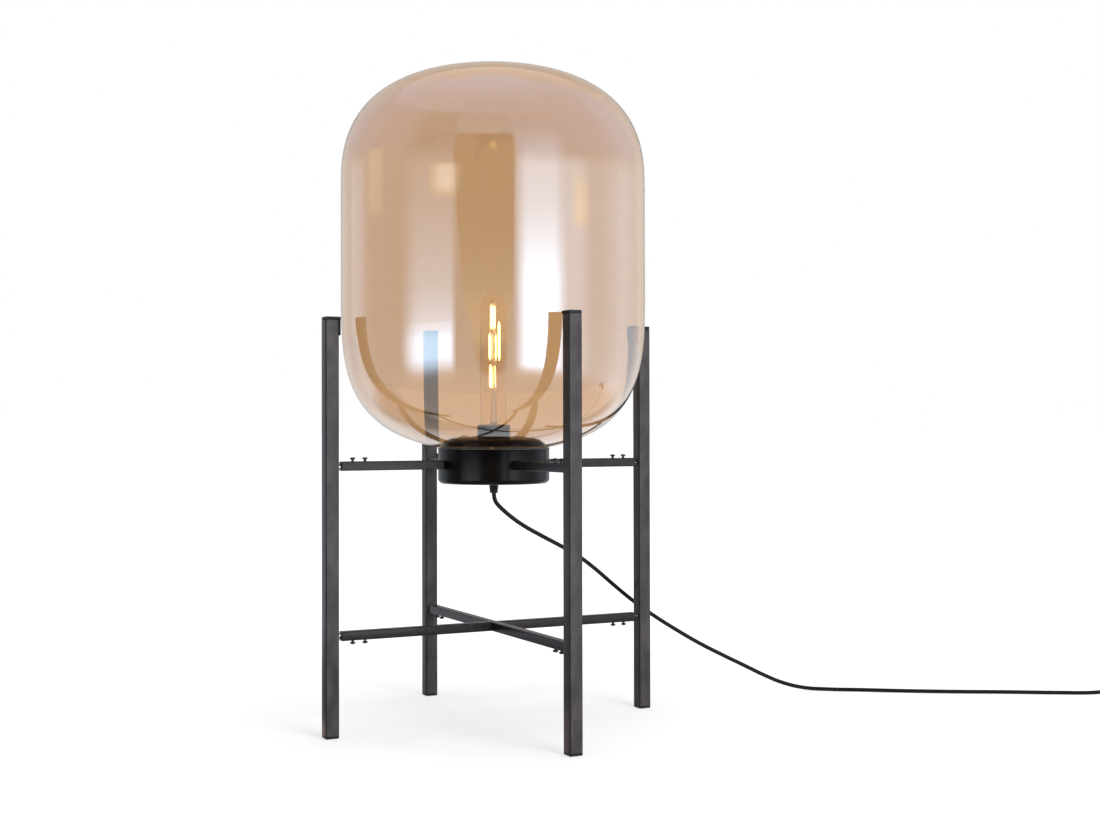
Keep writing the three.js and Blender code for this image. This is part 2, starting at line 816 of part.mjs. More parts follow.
function loopPoint(turns) {
  const radius = coilOuter - loopPitch * Math.min(turns, wholeTurns - turns);
  const climb = Math.min(Math.max(2 * (turns - coilTurns), 0), 1);
  const angle = turn + Math.PI / 2 - 2 * Math.PI * turns;
  return new THREE.Vector3(
    coilCentre.x + radius * Math.cos(angle),
    coilCentre.y + radius * Math.sin(angle),
    lowLayer + (loopPitch * (1 - Math.cos(Math.PI * climb))) / 2,
  );
}
const loops = Array.from({ length: wholeTurns * loopSteps + 1 }, (_, i) => loopPoint(i / loopSteps));
const lead = leadShares.map((share, i) => {
  const point = onward(leadStart, coilLead * share);
  return point.setZ(lowLayer + (switchEnd.z - lowLayer) * leadRiseShares[i]);
});
const plugLevel = floorGap + plugHeight / 2;
const tailShares = [0.4, 0.75, 1];
const tailDropShares = [0.4, 1, 1];
const tail = tailShares.map((share, i) => {
  const point = onward(loops[loops.length - 1], -coilTail * share);
  return point.setZ(highLayer + (plugLevel - highLayer) * tailDropShares[i]);
});
const windingSteps = Math.round(wholeTurns * loopSteps) + 2 * (lead.length + tail.length);
addPiece("cord_coil", sweep([...lead, ...loops, ...tail], cordRadius, loopSides, windingSteps), cordPlastic);

// Least gap between the coil's turns, measured from point to point
let leastGap = Infinity;
loops.forEach((a, i) => {
  for (const b of loops.slice(i + loopSteps / 2)) {
    leastGap = Math.min(leastGap, a.distanceTo(b) - cordDiameter);
  }
});
console.log("least gap between the coil's turns: " + leastGap.toFixed(2) + " mm");

// Flat plug with two round pins, lying on its side at the end of the cord
const plugStart = onward(tail[tail.length - 1], -fitGap);
const plug = new THREE.Group();
plug.position.set(plugStart.x, plugStart.y, floorGap);
plug.rotation.z = turn + Math.PI;
lamp.add(plug);
const shoulderShare = 0.4;
const tailWidth = 2 * plugNeckRadius + 2 * plugRound;
const plugOutline = new THREE.Shape();
plugOutline.moveTo(plugNeckLength, -tailWidth / 2);
plugOutline.lineTo(plugNeckLength + shoulderShare * plugLength, -plugWidth / 2);
plugOutline.lineTo(plugNeckLength + plugLength, -plugWidth / 2);
plugOutline.lineTo(plugNeckLength + plugLength, plugWidth / 2);
plugOutline.lineTo(plugNeckLength + shoulderShare * plugLength, plugWidth / 2);
plugOutline.lineTo(plugNeckLength, tailWidth / 2);
plugOutline.closePath();
const neckOutline = [
  [0, 0],
  [plugTailRadius, 0],
  [plugNeckRadius, plugNeckLength],
  [plugNeckRadius, plugNeckLength + plugRound],
  [0, plugNeckLength + plugRound],
];
const pinStart = plugNeckLength + plugLength - plugRound;
let plugSolid = softSlab(plugOutline, plugHeight, plugRound).add(
  alongX(turned(neckOutline, pocketSides / 2)).translate([0, 0, plugHeight / 2]),
);
for (const side of [-1, 1]) {
  const pin = alongX(cylinder(pinDiameter / 2, pinStart, pinStart + plugRound + pinLength, rodSides));
  plugSolid = plugSolid.add(pin.translate([0, (side * pinPitch) / 2, plugHeight / 2]));
}
addPiece("plug", plugSolid, plugPlastic, plug);

export default lamp;
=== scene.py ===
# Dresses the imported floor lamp: glass shade, filament bulb, canister, square legs, bars and cord.
# Shapes are written in millimetres, in the frame of the CAD model, and made in metres.
import math

import bmesh
import bpy
from mathutils import Matrix, Vector


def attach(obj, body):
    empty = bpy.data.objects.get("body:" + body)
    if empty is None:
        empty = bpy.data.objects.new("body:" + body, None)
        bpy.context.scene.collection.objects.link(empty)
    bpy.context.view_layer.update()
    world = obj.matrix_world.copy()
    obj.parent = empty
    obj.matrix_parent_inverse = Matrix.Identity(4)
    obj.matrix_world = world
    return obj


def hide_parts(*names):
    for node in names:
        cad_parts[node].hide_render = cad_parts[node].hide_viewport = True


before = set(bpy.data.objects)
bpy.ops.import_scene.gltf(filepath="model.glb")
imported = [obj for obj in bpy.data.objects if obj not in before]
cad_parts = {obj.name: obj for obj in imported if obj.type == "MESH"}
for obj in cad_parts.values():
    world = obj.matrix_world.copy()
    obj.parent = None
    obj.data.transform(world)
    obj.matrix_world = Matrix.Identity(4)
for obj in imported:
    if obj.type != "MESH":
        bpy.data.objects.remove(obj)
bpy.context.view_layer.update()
scene = bpy.context.scene
scene.view_settings.view_transform = "Standard"
MM = 0.001
GAP = 0.3

# Camera, at the photograph's place
CAMERA_PLACE = Vector((-0.7060184, -1.5470273, 0.3327336))
CAMERA_RIGHT = Vector((0.893630, -0.448799, -0.002068))
CAMERA_UP = Vector((-0.002303, -0.009192, 0.999955))
CAMERA_FORWARD = Vector((0.448798, 0.893585, 0.009248))
camera = bpy.data.objects.new("camera", bpy.data.cameras.new("camera"))
camera.data.sensor_fit = "HORIZONTAL"
camera.data.sensor_width = 36
camera.data.lens = 49.367
turned = Matrix((CAMERA_RIGHT, CAMERA_UP, -CAMERA_FORWARD)).transposed().to_4x4()
camera.matrix_world = Matrix.Translation(CAMERA_PLACE) @ turned
scene.collection.objects.link(camera)
scene.camera = camera


# Node helpers
def node(tree, kind, inputs=None, **settings):
    made = tree.nodes.new("ShaderNode" + kind)
    for key, value in settings.items():
        setattr(made, key, value)
    for key, value in (inputs or {}).items():
        if isinstance(value, bpy.types.NodeSocket):
            tree.links.new(value, made.inputs[key])
        else:
            made.inputs[key].default_value = value
    return made


def math_node(tree, operation, first, second=0.0):
    return node(tree, "Math", {0: first, 1: second}, operation=operation).outputs[0]


def rise(tree, value, low, high):
    inputs = {"Value": value, "From Min": low, "From Max": high}
    return node(tree, "MapRange", inputs, interpolation_type="SMOOTHSTEP").outputs["Result"]


def window(tree, value, start, full, fade, end):
    fall = math_node(tree, "SUBTRACT", 1.0, rise(tree, value, fade, end))
    return math_node(tree, "MULTIPLY", rise(tree, value, start, full), fall)


def product(tree, *factors):
    product_so_far = factors[0]
    for factor in factors[1:]:
        product_so_far = math_node(tree, "MULTIPLY", product_so_far, factor)
    return product_so_far


def total(tree, *terms):
    sum_so_far = terms[0]
    for term in terms[1:]:
        sum_so_far = math_node(tree, "ADD", sum_so_far, term)
    return sum_so_far


def opposite(tree, value):
    return math_node(tree, "SUBTRACT", 1.0, value)


def scaled(tree, value, factor, offset):
    return math_node(tree, "ADD", math_node(tree, "MULTIPLY", value, factor), offset)


def trace(tree, value, stations):
    level = stations[0][1]
    for (low, before), (high, after) in zip(stations, stations[1:]):
        inputs = {"Value": value, "From Min": low, "From Max": high, "To Max": after - before}
        level = math_node(tree, "ADD", level, node(tree, "MapRange", inputs).outputs["Result"])
    return level


def dot(tree, value, axis):
    return node(tree, "VectorMath", {0: value, 1: axis}, operation="DOT_PRODUCT").outputs["Value"]


def degrees_round(tree, aside, ahead):
    return math_node(tree, "DEGREES", math_node(tree, "ARCTAN2", aside, ahead))


def mixed_color(tree, share, first, second):
    return node(tree, "Mix", {0: share, 6: first, 7: second}, data_type="RGBA").outputs[2]


# Studio: a white room with a dark gap behind the camera, both seen in mirrors only
AHEAD = Vector((-0.44879, -0.89362, 0))
ASIDE = Vector((0.89362, -0.44879, 0))
WHITE, COOL, HIGH_COOL = (1, 1, 1, 1), (0.88, 0.97, 1.1, 1), (0.78, 0.95, 1.35, 1)
BACK, WARM, GLOW_NEAR_LAMP = (1, 0.93, 0.9, 1), (1.6, 1.05, 0.5, 1), (1.2, 0.93, 0.85, 1)
DARKEST = 0.03
HALO = 0.8
AMBIENT = 0.2

# Levels of the two bright walls, and azimuths of the gap's edges, by elevation in degrees
LEFT_WALL = [
    (0, 4.0), (3.8, 3.0), (5.5, 2.4), (7, 1.8), (8.5, 1.35), (10.8, 0.9), (15, 0.5), (21, 0.35), (40, 0.45)]
RIGHT_WALL = [
    (5.5, 7.5), (7, 5.2), (7.8, 4.2), (8.5, 3.5), (9.6, 3.1), (11, 2.3), (15, 1.8), (21, 1.2), (28, 0.8),
    (40, 0.6)]
GAP_LEFT = [(-1, -14.7), (1, -16), (4, -19), (6.7, -22.5), (8, -24.5), (12, -27)]
GAP_RIGHT = [(-1, 14), (3, 15.5), (6.7, 17), (10, 17.5)]
GAP_SOFTNESS = 1.3

# Mirror images of the lit bulb: windows of azimuth and elevation in degrees, and strength
BULB_IMAGES = [
    ((-108, -98, -92, -84), (7.6, 8.6, 14, 18), 0.7),
    ((-48, -34, -31, -19), (8.5, 9.2, 9.5, 10.6), 2.6),
    ((60, 68, 72, 80), (7.2, 8.0, 8.6, 10.0), 0.5)]
IMAGE_LEVEL = 0.7
IMAGE_WARMTH = 0.45


# Azimuths are in degrees from the camera's direction, seen from the lamp
def wall_glow(tree, azimuth, left_level, right_level, low):
    walls = scaled(tree, window(tree, azimuth, -120, -106, 140, 160), 0.2, 0.5)
    left_box = window(tree, azimuth, -72, -52, -30, -24)
    right_box = window(tree, azimuth, 16, 28, 46, 60)
    for level, share in ((left_level, left_box), (right_level, right_box)):
        step = math_node(tree, "SUBTRACT", level, walls)
        walls = math_node(tree, "ADD", walls, product(tree, share, step))
    wing = product(tree, window(tree, azimuth, 50, 60, 66, 82), low, 1.2)
    right_wall = product(tree, window(tree, azimuth, 12, 22, 108, 138), scaled(tree, low, 0.7, 0.25))
    left_strip = product(tree, window(tree, azimuth, -134, -124, -116, -104), low, 0.5)
    sides = total(
        tree, product(tree, window(tree, azimuth, -170, -142, -128, -92), 0.35),
        product(tree, window(tree, azimuth, 84, 122, 142, 170), 0.5))
    sides = product(tree, sides, scaled(tree, low, 0.5, 0.5))
    return total(tree, walls, wing, right_wall, left_strip, sides)


def gap_share(tree, azimuth, left_edge, right_edge, soft):
    past_left = rise(tree, math_node(tree, "SUBTRACT", azimuth, left_edge), -soft, soft)
    past_right = rise(tree, math_node(tree, "SUBTRACT", azimuth, right_edge), -soft, soft)
    return product(tree, past_left, opposite(tree, past_right))


def tint(tree, azimuth, rays, high, overhead, warmth):
    reflected = opposite(tree, rays["Is Transmission Ray"])
    front = math_node(tree, "MAXIMUM", window(tree, azimuth, -160, -130, 125, 155), overhead)
    cool = mixed_color(tree, high, COOL, HIGH_COOL)
    mirrored = mixed_color(tree, product(tree, front, reflected), BACK, cool)
    mirrored = mixed_color(tree, product(tree, warmth, reflected), mirrored, WARM)
    return mixed_color(tree, rays["Is Glossy Ray"], WHITE, mirrored)


def in_mirrors(tree, rays, level):
    return product(tree, level, opposite(tree, rays["Is Transmission Ray"]), rays["Is Glossy Ray"])


world = bpy.data.worlds.new("studio")
scene.world = world
world.use_nodes = True
sky = world.node_tree
sky.nodes.clear()
direction = node(sky, "TexCoord").outputs["Generated"]
path = node(sky, "LightPath").outputs
azimuth = degrees_round(sky, dot(sky, direction, ASIDE), dot(sky, direction, AHEAD))
upward = dot(sky, direction, Vector((0, 0, 1)))
elevation = math_node(sky, "DEGREES", math_node(sky, "ARCSINE", upward))
low = opposite(sky, rise(sky, elevation, 8, 15))
ceiling = rise(sky, elevation, 43, 50)
overhead = scaled(sky, rise(sky, elevation, 55, 82), 0.3, 1.0)
gap_left, gap_right = trace(sky, elevation, GAP_LEFT), trace(sky, elevation, GAP_RIGHT)
gap = product(
    sky, gap_share(sky, azimuth, gap_left, gap_right, GAP_SOFTNESS),
    opposite(sky, rise(sky, elevation, 24, 27)))
halo = product(sky, gap, opposite(sky, rise(sky, elevation, 2, 9)), HALO)
walls = wall_glow(
    sky, azimuth, trace(sky, elevation, LEFT_WALL), trace(sky, elevation, RIGHT_WALL), low)
bulb_images = total(sky, *[
    product(sky, window(sky, azimuth, *across), window(sky, elevation, *along), level)
    for across, along, level in BULB_IMAGES])
room = total(
    sky,
    product(sky, walls, opposite(sky, ceiling), opposite(sky, gap)),
    product(sky, ceiling, overhead),
    halo,
    product(sky, bulb_images, IMAGE_LEVEL),
    DARKEST,
)
warmth = math_node(sky, "MAXIMUM", halo, math_node(sky, "MINIMUM", bulb_images, IMAGE_WARMTH))
tone = tint(sky, azimuth, path, rise(sky, elevation, 9, 19), rise(sky, elevation, 60, 78), warmth)
strength = total(
    sky,
    math_node(sky, "MAXIMUM", path["Is Camera Ray"], path["Is Transmission Ray"]),
    in_mirrors(sky, path, room),
    math_node(sky, "MULTIPLY", path["Is Diffuse Ray"], AMBIENT),
)
background = node(sky, "Background", {"Color": tone, "Strength": strength})
node(sky, "OutputWorld", {"Surface": background.outputs[0]})


def softbox(name, place, target, size, radiance):
    light = bpy.data.lights.new(name, "AREA")
    light.shape = "RECTANGLE"
    light.size, light.size_y = size
    light.energy = math.pi * radiance * size[0] * size[1]
    lamp = bpy.data.objects.new(name, light)
    lamp.rotation_euler = (Vector(target) - Vector(place)).to_track_quat("-Z", "Y").to_euler()
    lamp.location = place
    lamp.visible_camera = False
    lamp.visible_transmission = False
    lamp.visible_glossy = False
    scene.collection.objects.link(lamp)


CENTRE = (0, 0, 0.36)
softbox("key_light", (0.35, -2.3, 1.2), CENTRE, (1.2, 1.2), 9.0)
softbox("top_light", (0.1, 0.1, 2.6), CENTRE, (2.4, 2.4), 2.0)
softbox("left_light", (-2.3, -0.6, 1.1), CENTRE, (1.2, 1.2), 0.2)

# Floor: white, with the lamp's soft shadow, by distance from the lamp in metres
REACH = 60
FLOOR_LEVEL = -0.0003
# Seen in mirrors only, the floor shows painted light: levels of the lit floor to the left, right and behind
# the lamp, and a dark gap
LEFT_FLOOR = [
    (0.4, 0.9), (0.62, 1.1), (0.71, 1.6), (0.82, 2.6), (0.96, 4.0), (1.4, 7.4), (3, 7.6), (7, 5.6),
    (30, 4.0)]
RIGHT_FLOOR = [(0.62, 1.0), (0.7, 1.4), (0.78, 2.4), (0.89, 5.0), (1.04, 7.5)]
BEHIND = [(0.1, 0.6), (0.26, 0.55), (0.4, 0.9), (0.6, 1.0), (1.0, 0.3), (1.3, 0.0)]
FLOOR_GAP_LEFT = [(0.7, -7), (1.3, -10), (3, -12.5), (15, -14.7)]
FLOOR_GAP_RIGHT = [(0.7, 8), (1.3, 10.5), (3, 12.5), (15, 14)]
FLOOR_GAP_SOFTNESS = 3.0
FLOOR_LIFT = [(0.15, 0.57), (0.35, 0.66), (0.8, 0.82), (1.5, 0.96), (2.5, 1.0)]
FLOOR_THROUGH = 1.08
FLOOR_AMBIENT = 0.12
SEEN_PAPER, UNSEEN_PAPER = (0.5, 0.485, 0.5, 1), (0.12, 0.116, 0.12, 1)
floor_mesh = bpy.data.meshes.new("studio_floor")
corners = [(-REACH, -REACH), (REACH, -REACH), (REACH, REACH), (-REACH, REACH)]
floor_mesh.from_pydata([(x, y, FLOOR_LEVEL) for x, y in corners], [], [(0, 1, 2, 3)])
floor = bpy.data.objects.new("studio_floor", floor_mesh)
scene.collection.objects.link(floor)
paper = bpy.data.materials.new("studio_paper")
paper.use_nodes = True
tree = paper.node_tree
tree.nodes.clear()
path = node(tree, "LightPath").outputs
place = node(tree, "NewGeometry").outputs["Position"]
ahead, aside = dot(tree, place, AHEAD), dot(tree, place, ASIDE)
distance = math_node(tree, "SQRT", total(tree, product(tree, ahead, ahead), product(tree, aside, aside)))
azimuth = degrees_round(tree, aside, ahead)
far = rise(tree, distance, 0.5, 1.1)
behind_left = product(tree, rise(tree, azimuth, -122, -140), 0.85)
behind_share = total(tree, behind_left, rise(tree, azimuth, 126, 142))
in_front = window(tree, azimuth, -92, -78, 118, 128)
near_glow = total(
    tree, product(tree, opposite(tree, far), scaled(tree, in_front, 0.8, 0.25)),
    product(tree, behind_share, trace(tree, distance, BEHIND)))
gap_left, gap_right = trace(tree, distance, FLOOR_GAP_LEFT), trace(tree, distance, FLOOR_GAP_RIGHT)
gap = product(
    tree, gap_share(tree, azimuth, gap_left, gap_right, FLOOR_GAP_SOFTNESS), rise(tree, ahead, 0.62, 0.85))
halo = product(tree, gap, rise(tree, distance, 1.2, 3.0), HALO)
walls = wall_glow(
    tree, azimuth, trace(tree, distance, LEFT_FLOOR), trace(tree, distance, RIGHT_FLOOR), 1.0)
lit_floor = total(tree, product(tree, walls, far), near_glow)
mirrored = total(tree, product(tree, lit_floor, opposite(tree, gap)), halo)
reflected = product(tree, path["Is Glossy Ray"], opposite(tree, path["Is Transmission Ray"]))
tone = tint(tree, azimuth, path, 0.0, 0.0, halo)
# Painted warm glow on the floor just in front of the lamp, seen in mirrors only
tone = mixed_color(tree, product(tree, reflected, in_front, opposite(tree, far)), tone, GLOW_NEAR_LAMP)
tone = mixed_color(tree, product(tree, reflected, behind_share, 0.9), tone, COOL)
glow = total(
    tree,
    product(tree, path["Is Camera Ray"], trace(tree, distance, FLOOR_LIFT)),
    math_node(tree, "MULTIPLY", path["Is Transmission Ray"], FLOOR_THROUGH),
    in_mirrors(tree, path, math_node(tree, "ADD", mirrored, DARKEST)),
    math_node(tree, "MULTIPLY", path["Is Diffuse Ray"], FLOOR_AMBIENT),
)
shine = node(tree, "Emission", {"Color": tone, "Strength": glow}).outputs[0]
paper_color = mixed_color(tree, path["Is Camera Ray"], UNSEEN_PAPER, SEEN_PAPER)
matte = node(tree, "BsdfDiffuse", {"Color": paper_color}).outputs[0]
both = node(tree, "AddShader", {0: shine, 1: matte}).outputs[0]
node(tree, "OutputMaterial", {"Surface": both})
floor_mesh.materials.append(paper)


# Materials
def principled(name, color, roughness, **sockets):
    made = bpy.data.materials.new(name)
    made.use_nodes = True
    shader = made.node_tree.nodes["Principled BSDF"]
    shader.inputs["Base Color"].default_value = (*color, 1)
    shader.inputs["Roughness"].default_value = roughness
    for key, value in sockets.items():
        shader.inputs[key.replace("_", " ")].default_value = value
    return made


def noise(tree, scale, detail, stretch=(1, 1, 1)):
    place = node(tree, "TexCoord").outputs["Object"]
    placed = node(tree, "Mapping", {"Vector": place, "Scale": stretch}).outputs["Vector"]
    inputs = {"Vector": placed, "Scale": scale, "Detail": detail, "Roughness": 0.55}
    return node(tree, "TexNoise", inputs).outputs["Fac"]


def spread_range(tree, value, low, high, to_low, to_high):
    inputs = {"Value": value, "From Min": low, "From Max": high, "To Min": to_low, "To Max": to_high}
    return node(tree, "MapRange", inputs).outputs["Result"]


def grade(tree, value, stops):
    ramp = node(tree, "ValToRGB", {"Fac": value})
    elements = ramp.color_ramp.elements
    while len(elements) < len(stops):
        elements.new(0.5)
    for element, (position, color) in zip(elements, stops):
        element.position = position
        element.color = (*color, 1)
    return ramp.outputs["Color"]


def feed(made, socket, value):
    made.node_tree.links.new(value, made.node_tree.nodes["Principled BSDF"].inputs[socket])


def grain(made, value, depth):
    bump = node(made.node_tree, "Bump", {"Height": value, "Distance": depth, "Strength": 1.0})
    feed(made, "Normal", bump.outputs["Normal"])


def mottled(name, stops, roughness, clouds, fine, depth, stretch=(1, 1, 1), **sockets):
    made = principled(name, stops[0][1], roughness[0], **sockets)
    tree = made.node_tree
    broad = noise(tree, clouds, 4.0, stretch)
    small = noise(tree, fine, 2.0)
    mixed = total(tree, product(tree, broad, 0.75), product(tree, small, 0.25))
    feed(made, "Base Color", grade(tree, mixed, stops))
    feed(made, "Roughness", spread_range(tree, mixed, 0.35, 0.65, *roughness))
    grain(made, small, depth)
    return made


leg_steel = mottled(
    "leg_steel",
    [(0.36, (0.068, 0.064, 0.067)), (0.5, (0.090, 0.085, 0.088)), (0.62, (0.119, 0.111, 0.115))],
    (0.2, 0.28), 70, 900, 0.00002, stretch=(1, 1, 0.5),
    Specular_IOR_Level=0.065, Specular_Tint=(1, 0.86, 0.76, 1))
# Painted shade: a near-black finish laid on the rounded corners of legs, arms and bars
edge_painted_shade = mottled(
    "edge_painted_shade",
    [(0.36, (0.010, 0.010, 0.010)), (0.62, (0.016, 0.016, 0.016))],
    (0.3, 0.38), 70, 900, 0.00002, Specular_IOR_Level=0.12)
bar_steel = mottled(
    "bar_steel",
    [(0.38, (0.020, 0.0195, 0.020)), (0.62, (0.031, 0.0295, 0.030))],
    (0.22, 0.3), 90, 1100, 0.00002, Specular_IOR_Level=0.12, Specular_Tint=(1, 0.86, 0.78, 1))
canister_paint = mottled(
    "canister_paint",
    [(0.35, (0.0025, 0.0022, 0.0025)), (0.65, (0.0045, 0.004, 0.0045))],
    (0.22, 0.28), 60, 1500, 0.00001, Specular_IOR_Level=0.08, Specular_Tint=(1, 0.9, 0.85, 1))
bright_steel = mottled(
    "bright_steel",
    [(0.35, (0.40, 0.40, 0.41)), (0.65, (0.55, 0.55, 0.56))],
    (0.28, 0.4), 200, 3000, 0.00002, Metallic=1.0)
screw_steel = mottled(
    "screw_steel",
    [(0.35, (0.012, 0.012, 0.012)), (0.65, (0.022, 0.021, 0.021))],
    (0.35, 0.5), 300, 2500, 0.00002, Specular_IOR_Level=0.4)
black_rubber = mottled(
    "black_rubber",
    [(0.35, (0.006, 0.006, 0.0065)), (0.65, (0.012, 0.012, 0.0125))],
    (0.55, 0.7), 150, 2500, 0.00003, Specular_IOR_Level=0.3)
clear_rubber = mottled(
    "clear_rubber",
    [(0.35, (0.05, 0.046, 0.04)), (0.65, (0.08, 0.074, 0.065))],
    (0.3, 0.4), 120, 1500, 0.00002, Specular_IOR_Level=0.2)
holder_plastic = mottled(
    "holder_plastic",
    [(0.35, (0.022, 0.022, 0.024)), (0.65, (0.035, 0.035, 0.038))],
    (0.25, 0.35), 120, 2500, 0.00001, Specular_IOR_Level=0.25)
insert_ceramic = mottled(
    "insert_ceramic",
    [(0.35, (0.66, 0.63, 0.58)), (0.65, (0.76, 0.73, 0.68))],
    (0.25, 0.4), 80, 1200, 0.00003)
cap_brass = mottled(
    "cap_brass",
    [(0.35, (0.50, 0.36, 0.14)), (0.65, (0.66, 0.50, 0.22))],
    (0.2, 0.34), 150, 1800, 0.00002, Metallic=1.0)
cord_plastic = mottled(
    "cord_plastic",
    [(0.35, (0.006, 0.006, 0.0065)), (0.65, (0.011, 0.011, 0.0115))],
    (0.38, 0.48), 120, 1800, 0.00003, Specular_IOR_Level=0.12)
plug_plastic = mottled(
    "plug_plastic",
    [(0.35, (0.009, 0.009, 0.0095)), (0.65, (0.015, 0.015, 0.0155))],
    (0.32, 0.42), 100, 2200, 0.00003)

SHADE_COLOR = (0.742, 0.594, 0.42)
lustre_glass = principled(
    "lustre_glass", SHADE_COLOR, 0.0, Transmission_Weight=1.0, IOR=2.0, Specular_Tint=(0.76, 0.9, 1, 1))
inner_glass = principled(
    "inner_glass", SHADE_COLOR, 0.0, Transmission_Weight=1.0, IOR=2.0, Specular_Tint=(0.12, 0.26, 0.4, 1))
stem_glass = principled("stem_glass", (0.96, 0.93, 0.88), 0.12, Transmission_Weight=0.75, IOR=1.5)
bulb_clear = principled("bulb_glass", (1.0, 0.95, 0.87), 0.0, Transmission_Weight=1.0, IOR=1.3)
filament_glow = principled(
    "filament", (1.0, 0.8, 0.5), 0.5, Emission_Color=(1, 0.72, 0.3, 1), Emission_Strength=9.0)


# Shapes are lists of vertices in millimetres, and faces
def loft(rings, wrap, ends=True):
    count = len(rings[0])
    faces = []
    for i in range(len(rings) if wrap else len(rings) - 1):
        a, b = i * count, (i + 1) % len(rings) * count
        for j in range(count):
            k = (j + 1) % count
            faces.append((a + j, a + k, b + k, b + j))
    if not wrap and ends:
        faces.append(tuple(range(count))[::-1])
        faces.append(tuple(range(len(rings) * count - count, len(rings) * count)))
    return [tuple(point) for ring in rings for point in ring], faces


def moved(shape, matrix):
    points, faces = shape
    return [tuple(matrix @ Vector(point)) for point in points], faces


def shifted(shape, x, y, z):
    return moved(shape, Matrix.Translation((x, y, z)))


QUARTER = math.pi / 2
ALONG_X = Matrix.Rotation(QUARTER, 4, "Y")
ALONG_Y = Matrix.Rotation(-QUARTER, 4, "X")


def hexagon(angle):
    step = math.pi / 3
    return math.cos(step / 2) / math.cos(angle % step - step / 2)


def lathe(outline, segments):
    rings = []
    for radius, height, *shape in outline:
        ring = []
        for i in range(segments):
            angle = 2 * math.pi * i / segments
            r = radius * (shape[0](angle) if shape else 1)
            ring.append((r * math.cos(angle), r * math.sin(angle), height))
        rings.append(ring)
    return loft(rings, outline[0][0] > 0, False)


def cylinder(radius, low, high, segments=32):
    return lathe([(0, low), (radius, low), (radius, high), (0, high)], segments)


def bend(centre, radius, start, end, steps):
    angles = [(start + (end - start) * i / steps) * QUARTER for i in range(steps + 1)]
    return [(centre[0] + radius * math.cos(a), centre[1] + radius * math.sin(a)) for a in angles]


def even(points, count):
    lengths = [0.0]
    for a, b in zip(points, points[1:]):
        lengths.append(lengths[-1] + math.dist(a, b))
    made, k = [], 0
    for i in range(count + 1):
        goal = lengths[-1] * i / count
        while k < len(points) - 2 and lengths[k + 1] < goal:
            k += 1
        share = (goal - lengths[k]) / (lengths[k + 1] - lengths[k])
        made.append(tuple(a + (b - a) * share for a, b in zip(points[k], points[k + 1])))
    return made


def round_square(width, depth, radius, height, steps=5):
    ring = []
    for quarter, (sx, sy) in enumerate([(1, 1), (-1, 1), (-1, -1), (1, -1)]):
        for i in range(steps + 1):
            angle = (quarter + i / steps) * QUARTER
            x = sx * (width / 2 - radius) + radius * math.cos(angle)
            y = sy * (depth / 2 - radius) + radius * math.sin(angle)
            ring.append((x, y, height))
    return ring


def square_tube(side, corner, wall, low, high, chamfer=0.4):
    hollow = side - 2 * wall
    bore = max(corner - wall, 0.4)
    edge = corner - chamfer / 2
    return loft([
        round_square(side - 2 * chamfer, side - 2 * chamfer, edge, low),
        round_square(side, side, corner, low + chamfer),
        round_square(side, side, corner, high - chamfer),
        round_square(side - 2 * chamfer, side - 2 * chamfer, edge, high),
        round_square(hollow, hollow, bore, high),
        round_square(hollow, hollow, bore, low)], True)


def block(width, depth, corner, low, high, round_low=0.0, round_high=0.0, steps=4):
    rings = []
    for i in range(steps + 1) if round_low else [steps]:
        angle = i / steps * QUARTER
        inset, z = round_low * (1 - math.sin(angle)), low + round_low * (1 - math.cos(angle))
        rings.append(round_square(width - 2 * inset, depth - 2 * inset, max(corner - inset, 0.1), z))
    for i in range(steps + 1) if round_high else [0]:
        angle = i / steps * QUARTER
        inset, z = round_high * (1 - math.cos(angle)), high - round_high * (1 - math.sin(angle))
        rings.append(round_square(width - 2 * inset, depth - 2 * inset, max(corner - inset, 0.1), z))
    return loft(rings, False)


def box(low, high):
    (x0, y0, z0), (x1, y1, z1) = low, high
    rings = [[(x0, y0, z), (x1, y0, z), (x1, y1, z), (x0, y1, z)] for z in (z0, z1)]
    return loft(rings, False)


def wire(points, radii, sides=10):
    points = [Vector(point) for point in points]
    if not isinstance(radii, (list, tuple)):
        radii = [radii] * len(points)
    heading = (points[1] - points[0]).normalized()
    normal = heading.orthogonal().normalized()
    rings = []
    for i, point in enumerate(points):
        onward = (points[min(i + 1, len(points) - 1)] - points[max(i - 1, 0)]).normalized()
        normal = (normal - onward * normal.dot(onward)).normalized()
        side = onward.cross(normal)
        angles = [2 * math.pi * j / sides for j in range(sides)]
        rings.append([point + (normal * math.cos(a) + side * math.sin(a)) * radii[i] for a in angles])
    return loft(rings, False)


def joined(*shapes):
    points, faces = [], []
    for more, sides in shapes:
        faces += [tuple(len(points) + i for i in face) for face in sides]
        points += more
    return points, faces


def bare(name, shape):
    points, faces = shape
    mesh = bpy.data.meshes.new(name)
    mesh.from_pydata([tuple(MM * v for v in point) for point in points], [], faces)
    work = bmesh.new()
    work.from_mesh(mesh)
    bmesh.ops.remove_doubles(work, verts=work.verts, dist=1e-7)
    bmesh.ops.recalc_face_normals(work, faces=work.faces)
    work.to_mesh(mesh)
    work.free()
    made = bpy.data.objects.new(name, mesh)
    scene.collection.objects.link(made)
    return made


def finish_mesh(made, sharp):
    work = bmesh.new()
    work.from_mesh(made.data)
    for face in work.faces:
        face.smooth = True
    for edge in work.edges:
        edge.smooth = len(edge.link_faces) == 2 and edge.calc_face_angle() < math.radians(sharp)
    work.to_mesh(made.data)
    work.free()


# Paints shade on the rounded corners: faces turned between two sides get the near-black corner finish
def paint_edge_shade(made):
    made.data.materials.append(edge_painted_shade)
    for face in made.data.polygons:
        if sorted(abs(part) for part in face.normal)[1] > 0.25:
            face.material_index = 1


